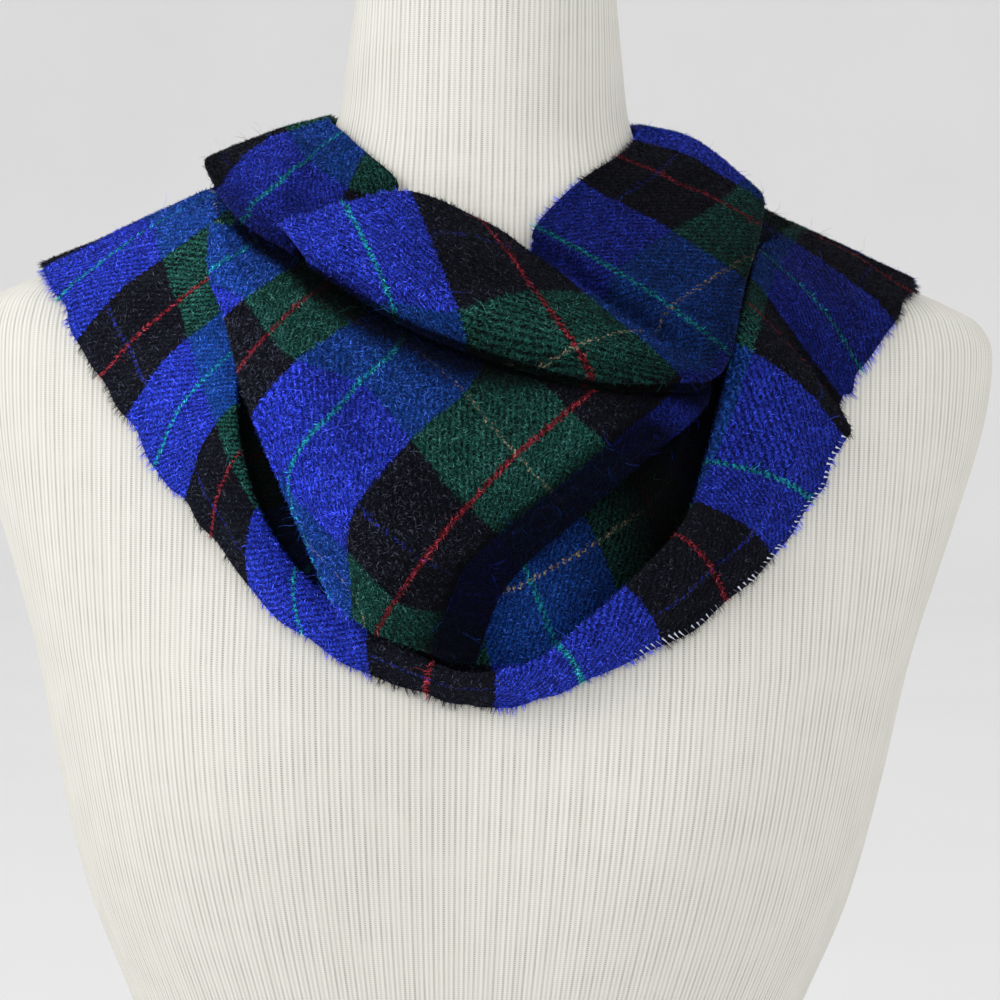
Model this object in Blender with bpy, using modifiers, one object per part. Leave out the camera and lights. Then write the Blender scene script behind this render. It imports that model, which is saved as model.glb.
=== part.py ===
"""A plaid wool scarf wound twice round the neck of a limbless dress form.

Metres, +Z up. The origin is the centre of the form's flat underside, and the form faces -Y.
Sizes in the tables are millimetres. A place is (across, ahead, height): across is +X, ahead
is +Y, so that the front of the form has negative values, and height is from the underside.
"""

from collections import namedtuple

import bmesh
import bpy
import numpy as np
from mathutils import Vector
from mathutils.bvhtree import BVHTree

MM = 0.001

# The dress form
FORM_SIDES = 44
BUST_HEIGHT = 382
BUST_HALF_SPACING = 92
BUST_SWELL = 14
BUST_WIDTH = 58

# The cloth
CLOTH_THICKNESS = 2.0
CLEAR_OF_FORM = 3.2
RING_STEPS = 3
ACROSS_STEPS = 3

# How a line beside a fold is placed, as shares of the fold's own size in its table
BELLY_OUT, BELLY_UP = 0.8, 0.3
GULLY_DOWN = 0.5
TURN_IN, TURN_DOWN = 0.8, 0.5
TUCK_DOWN = 1.6
HEM_DOWN = 0.8

# One row for each level section of the dress form, from its underside to the top of its neck.
# half_width is to each side, front and back are the depths ahead of and behind the neck's
# axis, and square is the superellipse power: 2 is an ellipse, more is fuller at the corners.
Section = namedtuple("Section", "height half_width front back square")
TORSO = (
    Section(0, 156, 94, 98, 2.3),
    Section(10, 161, 99, 102, 2.3),
    Section(60, 163, 101, 104, 2.3),
    Section(120, 150, 98, 96, 2.3),
    Section(190, 119, 88, 74, 2.2),
    Section(230, 115, 87, 68, 2.2),
    Section(285, 134, 96, 74, 2.3),
    Section(332, 152, 106, 82, 2.4),
    Section(382, 164, 112, 90, 2.5),
    Section(430, 174, 112, 95, 2.5),
    Section(482, 190, 104, 97, 2.4),
    Section(520, 201, 95, 95, 2.3),
    Section(548, 204, 87, 90, 2.2),
    Section(560, 199, 83, 86, 2.1),
    Section(566, 189, 80, 83, 2.1),
    Section(574, 171, 77, 79, 2.0),
    Section(587, 140, 72, 73, 2.0),
    Section(600, 109, 68, 68, 2.0),
    Section(612, 82, 64, 64, 2.0),
    Section(622, 66, 61, 61, 2.0),
    Section(636, 58, 58, 58, 2.0),
    Section(664, 54, 54, 54, 2.0),
    Section(700, 50, 50, 50, 2.0),
    Section(718, 48, 48, 48, 2.0),
    Section(722, 44, 44, 44, 2.0),
)

# The outer turn, which lies on the shoulders. One row for each place along the scarf, from the
# left shoulder across the front to the right one and back behind the neck. edge is the raw
# edge on the form, rim the top of the band, and root its hidden end nearer the neck. belly is
# how far the band bulges between edge and rim, roll how deep it turns in behind the rim, and
# nest how far the cloth behind the rim stands off the form.
Shoulder = namedtuple("Shoulder", "edge rim root belly roll nest")
SHOULDER_WRAP = (
    Shoulder((-159, -55, 562), (-106, -15, 604), (-87, -14, 613), 3, 1, 0),
    Shoulder((-140, -74, 534), (-94, -70, 576), (-87, -59, 589), 4, 1, 0),
    Shoulder((-117, -90, 503), (-89, -91, 545), (-69, -86, 554), 6, 3, 0),
    Shoulder((-95, -101, 478), (-86, -104, 508), (-64, -97, 514), 4, 5, 0),
    Shoulder((-60, -115, 443), (-64, -112, 467), (-48, -107, 482), 4, 4, 0),
    Shoulder((-16, -116, 424), (-14, -125, 436), (-24, -106, 474), 3, 6, 0),
    Shoulder((11, -116, 420), (11, -130, 434), (-1, -106, 475), 3, 9, 2),
    Shoulder((41, -118, 430), (32, -130, 444), (10, -102, 489), 3, 11, 6),
    Shoulder((93, -106, 458), (74, -119, 483), (43, -97, 521), 5, 13, 7),
    Shoulder((124, -89, 495), (86, -110, 509), (62, -92, 532), 6, 12, 2),
    Shoulder((137, -82, 519), (97, -97, 554), (80, -81, 558), 5, 6, 0),
    Shoulder((135, -76, 530), (102, -78, 572), (84, -73, 572), 0, 3, 0),
    Shoulder((143, -70, 542), (107, -59, 585), (91, -50, 594), 5, 2, 0),
    Shoulder((165, -35, 571), (121, -16, 597), (102, -13, 606), 4, 1, 0),
    Shoulder((170, 22, 573), (122, 14, 597), (98, 10, 608), 3, 1, 0),
    Shoulder((146, 66, 552), (100, 58, 584), (76, 52, 598), 4, 1, 0),
    Shoulder((98, 90, 520), (66, 82, 571), (50, 68, 592), 5, 1, 0),
    Shoulder((40, 98, 504), (27, 96, 556), (20, 79, 589), 5, 1, 0),
    Shoulder((-20, 99, 502), (-14, 96, 555), (-10, 80, 589), 5, 1, 0),
    Shoulder((-78, 94, 514), (-52, 90, 561), (-38, 76, 591), 5, 1, 0),
    Shoulder((-128, 74, 540), (-88, 68, 581), (-64, 60, 597), 4, 1, 0),
    Shoulder((-160, 38, 566), (-114, 36, 595), (-90, 34, 605), 4, 1, 0),
    Shoulder((-170, -10, 575), (-116, 0, 602), (-94, -2, 613), 3, 1, 0),
)

# The inner turn round the neck. It starts at its free corner at the left of the throat, folds
# down across the front, climbs the right shoulder, passes behind the neck and comes over the
# left shoulder to end under its own start. edge is next to the neck, crest is the lower or
# outer fold, and tuck is how far the cloth turns under there.
Neck = namedtuple("Neck", "edge brow crest tuck")
NECK_WRAP = (
    Neck((-74, -79, 592), (-69, -87, 587), (-63, -95, 580), 2),
    Neck((-50, -76, 600), (-40, -98, 583), (-30, -108, 564), 4),
    Neck((-26, -74, 605), (-14, -101, 579), (-4, -116, 554), 4),
    Neck((0, -79, 595), (19, -107, 572), (40, -121, 542), 4),
    Neck((17, -80, 586), (43, -108, 565), (72, -117, 541), 4),
    Neck((19, -77, 589), (57, -104, 561), (83, -113, 542), 4),
    Neck((21, -74, 594), (56, -97, 573), (89, -105, 550), 4),
    Neck((35, -62, 609), (65, -78, 593), (95, -87, 574), 2),
    Neck((51, -44, 621), (77, -50, 611), (104, -54, 597), 2),
    Neck((63, -8, 634), (84, -10, 629), (107, -14, 611.2), 2),
    Neck((57, 33, 638), (74, 42, 631), (97, 50, 612), 2),
    Neck((33, 57, 640), (42, 73, 631), (53, 92, 604), 4),
    Neck((0, 66, 641), (0, 84, 632), (0, 106, 603), 4),
    Neck((-33, 57, 640), (-42, 73, 631), (-53, 92, 605), 4),
    Neck((-57, 33, 638), (-73, 42, 631), (-93, 52, 611), 4),
    Neck((-61, 4, 637), (-85, 4, 630), (-108, 2, 620), 3),
    Neck((-53, -34, 629), (-74, -38, 617), (-99, -41, 607), 2),
    Neck((-42, -52, 619), (-64, -58, 603), (-91, -63, 598), 2),
    Neck((-31, -63, 609), (-54, -67, 595), (-80, -75, 590), 2),
    Neck((-34, -66, 603), (-50, -71, 591), (-67, -81, 583), 2),
)

# The wide front fold between the two turns. One row for each place along the scarf, from the
# left shoulder to the right. brim is hidden under the inner turn, and turn is where the cloth
# goes round and inward, at the left and at the bottom. tuck is how far it turns under there.
Drape = namedtuple("Drape", "brim lip swell belly turn tuck")
FRONT_DRAPE = (
    Drape((-92, -58, 593), (-94, -60, 591), (-96, -61, 591), (-99, -62, 592), (-101, -61, 592), 1),
    Drape((-83, -68, 586), (-86, -73, 583), (-90, -78, 580), (-95, -81, 577), (-99, -78, 574), 1),
    Drape((-69, -78, 577), (-73, -84, 575), (-78, -90, 571), (-85, -95, 566), (-92, -93, 560), 1),
    Drape((-56, -88, 569), (-62, -97, 565), (-69, -105, 558), (-78, -108, 548), (-85, -105, 539), 2),
    Drape((-40, -94, 560), (-47, -107, 555), (-58, -115, 548), (-69, -118, 537), (-79, -113, 524), 3),
    Drape((-26, -96, 555), (-30, -114, 546), (-45, -127, 531), (-65, -128, 501), (-50, -125, 461), 4),
    Drape((4, -98, 547), (-2, -122, 535), (-22, -137, 516), (-42, -140, 489), (-42, -128, 456), 3),
    Drape((51, -98, 540), (41, -118, 533), (11, -138, 508), (-16, -143, 476), (-32, -129, 450), 3),
    Drape((75, -100, 537), (65, -114, 529), (31, -133, 502), (0, -139, 474), (-13, -129, 444), 4),
    Drape((84, -102, 534), (76, -111, 525), (38, -128, 500), (5, -134, 472), (-6, -128, 441), 3),
    Drape((81, -98, 532), (73, -104, 521), (44, -116, 495), (13, -123, 466), (3, -125, 440), 2),
)


def smooth_through(rows, steps):
    """Points on the curve that passes through every row, `steps` of them to each gap.

    It is a Catmull-Rom curve: between two rows, the cubic whose slope at each row is half the
    difference of that row's neighbours. The first and last slopes come from the end gaps.
    """
    rows = np.asarray(rows, float)
    before = np.concatenate([2 * rows[:1] - rows[1:2], rows[:-1]])
    after = np.concatenate([rows[1:], 2 * rows[-1:] - rows[-2:-1]])
    slope = (after - before) / 2
    t = (np.arange(steps) / steps).reshape((1, -1) + (1,) * (rows.ndim - 1))
    a, b = rows[:-1, None], rows[1:, None]
    m, n = slope[:-1, None], slope[1:, None]
    curve = (
        (2 * t**3 - 3 * t**2 + 1) * a
        + (t**3 - 2 * t**2 + t) * m
        + (3 * t**2 - 2 * t**3) * b
        + (t**3 - t**2) * n
    )
    return np.concatenate([curve.reshape((-1,) + rows.shape[1:]), rows[-1:]])


def smooth_loop(rows, steps):
    """The same curve through rows that close into a ring, without its repeated end."""
    rows = np.asarray(rows, float)
    padded = np.concatenate([rows[-2:], rows, rows[:3]])
    return smooth_through(padded, steps)[2 * steps : (2 + len(rows)) * steps]


def smooth_across(lines, steps):
    """The surface through lines that run along the cloth, given from one edge to the other."""
    return np.swapaxes(smooth_through(np.stack(lines), steps), 0, 1)


def moved(points, outward, up):
    """The points moved away from the neck's axis and upward."""
    reach = np.hypot(points[..., 0], points[..., 1])
    shifted = points.copy()
    shifted[..., 0] += outward * points[..., 0] / reach
    shifted[..., 1] += outward * points[..., 1] / reach
    shifted[..., 2] += up
    return shifted


def columns_of(table, smooth):
    """Each column of a table as its own smooth line along the cloth."""
    return [smooth([row[i] for row in table], RING_STEPS) for i in range(len(table[0]))]


def torso_rings():
    """Rings of points up the dress form: superellipses with a swell at each side of the bust."""
    table = smooth_through([tuple(row) for row in TORSO], 2)
    height, half_width, front, back, square = (column[:, None] for column in table.T)
    turn = np.linspace(0, 2 * np.pi, FORM_SIDES, endpoint=False)[None, :]
    across, ahead = np.sin(turn), -np.cos(turn)
    x = half_width * np.sign(across) * np.abs(across) ** (2 / square)
    y = np.where(ahead < 0, front, back) * np.sign(ahead) * np.abs(ahead) ** (2 / square)
    from_apex = (np.abs(x) - BUST_HALF_SPACING) ** 2 + (height - BUST_HEIGHT) ** 2
    y -= BUST_SWELL * np.exp(-from_apex / BUST_WIDTH**2) * np.clip(-ahead, 0, 1)
    return np.stack([x, y, height + 0 * x], axis=-1)


def shoulder_lines():
    """The outer turn's lines from its raw edge up over its rim and in towards the neck."""
    edge, rim, root, belly, roll, nest = columns_of(SHOULDER_WRAP, smooth_loop)
    down_the_band = (edge - rim) / np.linalg.norm(edge - rim, axis=1, keepdims=True)
    gully = moved(rim, -roll, 0) + GULLY_DOWN * roll[:, None] * down_the_band
    return [
        edge,
        moved((edge + rim) / 2, BELLY_OUT * belly, BELLY_UP * belly),
        rim,
        gully,
        moved((gully + root) / 2, nest, 0),
        root,
    ]


def neck_lines():
    """The inner turn's lines from the neck out to its crest and round beneath it."""
    edge, brow, crest, tuck = columns_of(NECK_WRAP, smooth_through)
    return [
        edge,
        brow,
        crest,
        moved(crest, -TURN_IN * tuck, -TURN_DOWN * tuck),
        moved(crest, -tuck, -TUCK_DOWN * tuck),
    ]


def drape_lines():
    """The front fold's lines from its hidden brim down over its belly and under."""
    brim, lip, swell, belly, turn, tuck = columns_of(FRONT_DRAPE, smooth_through)
    return [brim, lip, swell, belly, turn, moved(turn, -tuck, -HEM_DOWN * tuck)]


def grid_mesh(name, grid, closed):
    """A mesh of quads on a grid of points in millimetres, closed or open along its first side."""
    rows, columns = grid.shape[:2]
    index = np.arange(rows * columns).reshape(rows, columns)
    following = np.roll(index, -1, axis=0) if closed else index[1:]
    here = index if closed else index[:-1]
    corners = [here[:, :-1], here[:, 1:], following[:, 1:], following[:, :-1]]
    faces = np.stack(corners, axis=-1).reshape(-1, 4)
    mesh = bpy.data.meshes.new(name)
    mesh.from_pydata((grid.reshape(-1, 3) * MM).tolist(), [], faces.tolist())
    return mesh


def add_object(name, mesh, collection, material):
    piece = bpy.data.objects.new(name, mesh)
    mesh.materials.append(material)
    mesh.shade_smooth()
    collection.objects.link(piece)
    return piece


def finish(name, colour, roughness):
    """A matt Principled material."""
    material = bpy.data.materials.new(name)
    material.use_nodes = True
    shader = material.node_tree.nodes["Principled BSDF"]
    shader.inputs["Base Color"].default_value = (*colour, 1)
    shader.inputs["Roughness"].default_value = roughness
    shader.inputs["Metallic"].default_value = 0
    material.diffuse_color = (*colour, 1)
    return material


def build_form(collection, material):
    """The dress form: a loft through its sections, with flat ends. Returns its surface."""
    rings = np.swapaxes(torso_rings(), 0, 1)
    mesh = grid_mesh("dress_form", rings, closed=True)
    shell = bmesh.new()
    shell.from_mesh(mesh)
    bmesh.ops.holes_fill(shell, edges=shell.edges)
    bmesh.ops.recalc_face_normals(shell, faces=shell.faces)
    bmesh.ops.triangulate(shell, faces=shell.faces)
    tree = BVHTree.FromBMesh(shell)
    shell.to_mesh(mesh)
    shell.free()
    add_object("dress_form", mesh, collection, material)
    return tree


def kept_clear(grid, form):
    """The grid with any point nearer the form than the cloth's clearance moved off it."""
    clear = grid.copy()
    for place in clear.reshape(-1, 3):
        found, normal, _, _ = form.find_nearest(Vector(place * MM))
        height = (Vector(place * MM) - found).dot(normal)
        if height < CLEAR_OF_FORM * MM:
            place[:] = np.array(found + normal * CLEAR_OF_FORM * MM) / MM
    return clear


def build_cloth(name, lines, form, collection, material, closed=False):
    """A stretch of the scarf: the sheet through its lines, given its thickness."""
    grid = kept_clear(smooth_across(lines, ACROSS_STEPS), form)
    piece = add_object(name, grid_mesh(name, grid, closed), collection, material)
    wall = piece.modifiers.new("wall", "SOLIDIFY")
    wall.thickness = CLOTH_THICKNESS * MM
    wall.offset = 0
    return piece


def build():
    for old in list(bpy.data.objects):
        bpy.data.objects.remove(old)
    parts = bpy.data.collections.new("plaid_scarf_on_dress_form")
    bpy.context.scene.collection.children.link(parts)
    form = build_form(parts, finish("ribbed jersey cover", (0.76, 0.74, 0.7), 0.9))
    royal = finish("brushed wool, royal blue", (0.03, 0.04, 0.42), 0.95)
    azure = finish("brushed wool, azure", (0.02, 0.12, 0.45), 0.95)
    charcoal = finish("brushed wool, charcoal", (0.02, 0.02, 0.03), 0.95)
    build_cloth("shoulder_wrap", shoulder_lines(), form, parts, royal, closed=True)
    build_cloth("neck_wrap", neck_lines(), form, parts, azure)
    build_cloth("front_drape", drape_lines(), form, parts, charcoal)


build()
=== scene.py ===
# %% [markdown]
# # A plaid wool scarf wound round a dress form
#
# The real thing is one long brushed wool cloth, wound twice round the neck of a display
# form. Three stretches of it show: the outer turn that lies on the shoulders, the wide fold
# that hangs between the turns, and the inner turn round the neck. Each stretch is made here
# as one smooth surface through a short table of places, and the plaid is drawn on it from
# the cloth's own measure, in millimetres along and across the scarf, so that the checks
# follow every fold.
#
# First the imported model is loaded. It gives the places that everything else fits.

# %% Load the frame
from collections import namedtuple

import bpy
import numpy as np
from mathutils import Matrix, Vector


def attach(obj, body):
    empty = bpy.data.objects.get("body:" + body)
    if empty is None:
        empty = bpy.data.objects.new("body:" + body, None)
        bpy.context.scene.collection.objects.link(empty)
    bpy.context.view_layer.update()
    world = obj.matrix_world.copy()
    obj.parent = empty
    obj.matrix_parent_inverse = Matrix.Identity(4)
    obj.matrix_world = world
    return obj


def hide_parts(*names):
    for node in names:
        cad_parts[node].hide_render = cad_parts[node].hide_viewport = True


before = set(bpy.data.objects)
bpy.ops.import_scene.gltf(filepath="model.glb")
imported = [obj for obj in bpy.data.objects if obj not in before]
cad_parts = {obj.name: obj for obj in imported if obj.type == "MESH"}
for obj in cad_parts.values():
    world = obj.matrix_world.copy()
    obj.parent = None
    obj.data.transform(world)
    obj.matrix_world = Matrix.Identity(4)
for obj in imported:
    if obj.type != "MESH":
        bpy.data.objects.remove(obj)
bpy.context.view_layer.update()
MM = 0.001
chance = np.random.default_rng(11)

# %% [markdown]
# ## The camera
#
# The photo was taken a little above the chest, looking slightly down, and the picture leans
# by about one degree. A long lens keeps the shoulders from swelling. The camera's three axes
# are written down directly, because a small lean is easier to state as an angle than to
# reach by turning the camera three times.

# %% Set the camera
DISTANCE, SIDE, HEIGHT = 1.1, 0.0096, 0.5633
LOOK_DOWN, LEAN = np.radians(4.0), np.radians(1.2)
FOCAL_PIXELS, PICTURE_PIXELS = 2750, 1000


def add_to_scene(name, data):
    """A new object in the scene that shows that mesh, lamp or camera."""
    item = bpy.data.objects.new(name, data)
    bpy.context.scene.collection.objects.link(item)
    return item


def picture_axes(look_down, lean):
    """Right, up and backward of the picture: the level axes turned down and then leaned."""
    forward = np.array([0, np.cos(look_down), -np.sin(look_down)])
    upright = np.array([0, np.sin(look_down), np.cos(look_down)])
    across = np.array([1.0, 0, 0])
    right = np.cos(lean) * across + np.sin(lean) * upright
    up = np.cos(lean) * upright - np.sin(lean) * across
    return right, up, -forward


lens = bpy.data.cameras.new("camera")
lens.sensor_width = 36
lens.lens = lens.sensor_width * FOCAL_PIXELS / PICTURE_PIXELS
lens.clip_start = 0.05
camera = add_to_scene("camera", lens)
turned = Matrix(np.array(picture_axes(LOOK_DOWN, LEAN)).T.tolist()).to_4x4()
camera.matrix_world = Matrix.Translation((SIDE, -DISTANCE, HEIGHT)) @ turned
bpy.context.scene.camera = camera
print("lens:", round(lens.lens), "mm")

# %% [markdown]
# ## Colours and nodes
#
# Colours are written as the hex values that one would pick from a picture, and one function
# turns them into the linear values that the renderer adds light with. One more function adds
# a shader node with its settings and what feeds it, which keeps the materials short.


# %% Colours and nodes
def linear(hex_colour):
    """A hex colour as linear RGBA: c / 12.92 below 0.04045, else ((c + 0.055) / 1.055)^2.4."""
    c = np.array([int(hex_colour[i : i + 2], 16) for i in (1, 3, 5)]) / 255
    c = np.where(c > 0.04045, ((c + 0.055) / 1.055) ** 2.4, c / 12.92)
    return (*c.tolist(), 1.0)


def add_node(tree, kind, inputs=None, **settings):
    """A node with its settings, each named or numbered input given a value or a socket."""
    node = tree.nodes.new("ShaderNode" + kind)
    for name, value in settings.items():
        setattr(node, name, value)
    for name, value in (inputs or {}).items():
        if isinstance(value, bpy.types.Node):
            value = value.outputs[0]
        if isinstance(value, bpy.types.NodeSocket):
            tree.links.new(value, node.inputs[name])
        else:
            node.inputs[name].default_value = value
    return node


def new_material(name, constants):
    """A material, its node tree, and its Principled shader with those sockets set."""
    material = bpy.data.materials.new(name)
    material.use_nodes = True
    shader = material.node_tree.nodes["Principled BSDF"]
    for socket, value in constants.items():
        shader.inputs[socket].default_value = value
    return material, material.node_tree, shader


print("middle grey in linear light:", [round(c, 3) for c in linear("#808080")])

# %% [markdown]
# ## Smooth surfaces through tables
#
# A fold is easiest to give by the few places that it passes through. A Catmull-Rom curve
# passes through all of them with no corner, first along the cloth and then across it, which
# gives a grid of points that is as fine as we like.

# %% Curves through rows


def smooth_through(rows, steps):
    """Points on the curve that passes through every row, `steps` of them to each gap.

    Between two rows it is the cubic whose slope at each row is half the difference of that
    row's neighbours. The first and last slopes come from the end gaps.
    """
    rows = np.asarray(rows, float)
    before = np.concatenate([2 * rows[:1] - rows[1:2], rows[:-1]])
    after = np.concatenate([rows[1:], 2 * rows[-1:] - rows[-2:-1]])
    slope = (after - before) / 2
    t = (np.arange(steps) / steps).reshape((1, -1) + (1,) * (rows.ndim - 1))
    a, b = rows[:-1, None], rows[1:, None]
    m, n = slope[:-1, None], slope[1:, None]
    curve = (
        (2 * t**3 - 3 * t**2 + 1) * a
        + (t**3 - 2 * t**2 + t) * m
        + (3 * t**2 - 2 * t**3) * b
        + (t**3 - t**2) * n
    )
    return np.concatenate([curve.reshape((-1,) + rows.shape[1:]), rows[-1:]])


def smooth_loop(rows, steps):
    """The same curve through rows that close into a ring, with its start repeated at its end."""
    rows = np.asarray(rows, float)
    padded = np.concatenate([rows[-2:], rows, rows[:3]])
    return smooth_through(padded, steps)[2 * steps : (2 + len(rows)) * steps + 1]


def moved(points, outward, up):
    """The points moved away from the neck's axis and upward."""
    reach = np.hypot(points[..., 0], points[..., 1])
    shifted = points.copy()
    shifted[..., 0] += outward * points[..., 0] / reach
    shifted[..., 1] += outward * points[..., 1] / reach
    shifted[..., 2] += up
    return shifted


def columns_of(table, smooth, steps):
    """Each column of a table as its own smooth line along the cloth."""
    return [smooth([row[i] for row in table], steps) for i in range(len(table[0]))]


def arc_across(points):
    """The distance on the surface from the first line to each point of its row."""
    steps = np.linalg.norm(np.diff(points, axis=1), axis=-1)
    return np.concatenate([np.zeros((len(points), 1)), np.cumsum(steps, axis=1)], axis=1)


print("a curve through 3 rows in 4 steps:", smooth_through([0, 1, 3], 2).tolist())

# %% [markdown]
# ## The dress form
#
# The form is a padded shell of a woman's body without limbs. Its body is a stack of level
# sections. Each section is a superellipse, an oval whose corners can be made fuller, and
# two soft swells are added for the bust. A lathe could not make it, because it is wider
# than it is deep, and sculpting would be hard to repeat.

# %% The form's sections
Section = namedtuple("Section", "height half_width front back square")
TORSO = (
    Section(0, 156, 94, 98, 2.3),
    Section(10, 161, 99, 102, 2.3),
    Section(60, 163, 101, 104, 2.3),
    Section(120, 150, 98, 96, 2.3),
    Section(190, 119, 88, 74, 2.2),
    Section(230, 115, 87, 68, 2.2),
    Section(285, 134, 96, 74, 2.3),
    Section(332, 152, 106, 82, 2.4),
    Section(382, 164, 112, 90, 2.5),
    Section(430, 174, 112, 95, 2.5),
    Section(482, 190, 104, 97, 2.4),
    Section(520, 201, 95, 95, 2.3),
    Section(548, 204, 87, 90, 2.2),
    Section(560, 199, 83, 86, 2.1),
    Section(566, 189, 80, 83, 2.1),
    Section(574, 171, 77, 79, 2.0),
    Section(587, 140, 72, 73, 2.0),
    Section(600, 109, 68, 68, 2.0),
    Section(612, 82, 64, 64, 2.0),
    Section(622, 66, 61, 61, 2.0),
    Section(636, 58, 58, 58, 2.0),
    Section(664, 54, 54, 54, 2.0),
    Section(700, 50, 50, 50, 2.0),
    Section(718, 48, 48, 48, 2.0),
    Section(722, 44, 44, 44, 2.0),
)
BUST_HEIGHT, BUST_HALF_SPACING, BUST_SWELL, BUST_WIDTH = 382, 92, 14, 58
FORM_SIDES = 264
FORM_STEPS = 8
profile = smooth_through([tuple(row) for row in TORSO], FORM_STEPS)


def bust_swell(x, height):
    """A bell round each apex: BUST_SWELL * exp(-(distance / BUST_WIDTH)^2)."""
    from_apex = (np.abs(x) - BUST_HALF_SPACING) ** 2 + (height - BUST_HEIGHT) ** 2
    return BUST_SWELL * np.exp(-from_apex / BUST_WIDTH**2)


def form_grid():
    """Points up and round the form, and the height along its skin.

    A point of a section is (w |sin|^(2/q), d |cos|^(2/q)) with the signs kept, and the bust
    adds a bell-shaped swell to the front at each side.
    """
    height, half_width, front, back, square = (column[:, None] for column in profile.T)
    turn = np.linspace(-np.pi, np.pi, FORM_SIDES + 1)[None, :]
    across, ahead = np.sin(turn), -np.cos(turn)
    x = half_width * np.sign(across) * np.abs(across) ** (2 / square)
    y = np.where(ahead < 0, front, back) * np.sign(ahead) * np.abs(ahead) ** (2 / square)
    y -= bust_swell(x, height) * np.clip(-ahead, 0, 1)
    return np.stack([x, y, height + 0 * x], axis=-1)


form_points = form_grid()
print("form grid:", form_points.shape[:2])

# %% [markdown]
# Cloth must lie on the form and never in it. The form's sections give a number for any
# place: how many times larger the section would have to be to reach it. Its excess over one,
# divided by how fast it grows, is close to the distance from the skin, so a place that is
# too near can be pushed out along the direction in which the number grows fastest.

# %% Keep the cloth off the form
CLEAR_OF_FORM = 3.2
PROBE, PUSHES = 0.5, 3


def section_scale(points):
    """The factor by which the form's section at that height would just reach each point."""
    x, y, z = np.moveaxis(points, -1, 0)
    half_width, front, back, square = (
        np.interp(z, profile[:, 0], profile[:, i]) for i in (1, 2, 3, 4)
    )
    facing = np.clip(-y / np.hypot(x, y), 0, 1)
    y = y + bust_swell(x, z) * facing
    depth = np.where(y < 0, front, back)
    return ((np.abs(x) / half_width) ** square + (np.abs(y) / depth) ** square) ** (1 / square)


def kept_clear(points):
    """The points, with any that is nearer the form than the clearance pushed off it."""
    clear = points.copy()
    for _ in range(PUSHES):
        scale = section_scale(clear)
        slope = np.stack(
            [
                (section_scale(clear + PROBE * axis) - section_scale(clear - PROBE * axis))
                / (2 * PROBE)
                for axis in np.eye(3)
            ],
            axis=-1,
        )
        steep = np.linalg.norm(slope, axis=-1)
        short = np.clip(CLEAR_OF_FORM - (scale - 1) / steep, 0, 2 * CLEAR_OF_FORM)
        clear += (short / steep)[..., None] * slope
    return clear


print("clearance:", CLEAR_OF_FORM, "mm")

# %% [markdown]
# ## From a grid to a mesh
#
# Every surface here is a grid of points with a measure (u, v) at each point. The mesh is
# made of quads between neighbours. A grid that closes into a ring shares its first points,
# while its measure runs on, so the pattern has no break there.

# %% Build meshes from grids


def as_object(name, mesh, material, body="root"):
    """The mesh as a smooth object in the scene that rides on a body of the frame."""
    mesh.materials.append(material)
    mesh.shade_smooth()
    piece = add_to_scene(name, mesh)
    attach(piece, body)
    return piece


def grid_mesh(name, points, measure, closed_along=False, closed_across=False, shade=None):
    """A mesh of quads on a grid in millimetres, with its measure in metres as the UV map.

    Corner (i, j) of the grid is vertex (i mod rows, j mod columns) where a side is closed.
    """
    rows, columns = points.shape[:2]
    i, j = np.meshgrid(np.arange(rows), np.arange(columns), indexing="ij")
    count_along = rows - closed_along
    count_across = columns - closed_across
    vertex = (i % count_along) * count_across + j % count_across
    corner = np.arange(rows * columns).reshape(rows, columns)

    def around(index):
        quads = [index[:-1, :-1], index[:-1, 1:], index[1:, 1:], index[1:, :-1]]
        return np.stack(quads, axis=-1).reshape(-1, 4)

    mesh = bpy.data.meshes.new(name)
    kept = points[:count_along, :count_across].reshape(-1, 3)
    mesh.from_pydata((kept * MM).tolist(), [], around(vertex).tolist())
    uv = measure.reshape(-1, 2)[around(corner).reshape(-1)] * MM
    layer = mesh.uv_layers.new(name="measure")
    layer.data.foreach_set("uv", uv.astype(np.float32).ravel())
    # The 'shade' attribute holds painted light and shade, which the materials multiply into the
    # colour.
    if shade is not None:
        attribute = mesh.attributes.new("shade", "FLOAT", "POINT")
        kept_shade = shade[:count_along, :count_across].astype(np.float32)
        attribute.data.foreach_set("value", kept_shade.ravel())
    return mesh


print("grids become meshes of quads with a measure")

# %% [markdown]
# ## The ribbed cover
#
# The form wears off-white ribbed jersey, cut to shape and closed by a seam down the back. The
# ribs keep one pitch from the chest to the neck, so they are counted by the distance from the
# front centre. Between two raised ribs there is a channel with tiny dark holes, one to each
# course of stitches, and every second channel is fainter. Ribs this fine don't need geometry.
# A wave across the measure gives their rise as bump, and one up the measure gives the holes.

# %% The cover's material
RIB_PITCH_MM = 2.15
COURSE_MM = 0.85
CHEST_HEIGHT = 430


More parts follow.
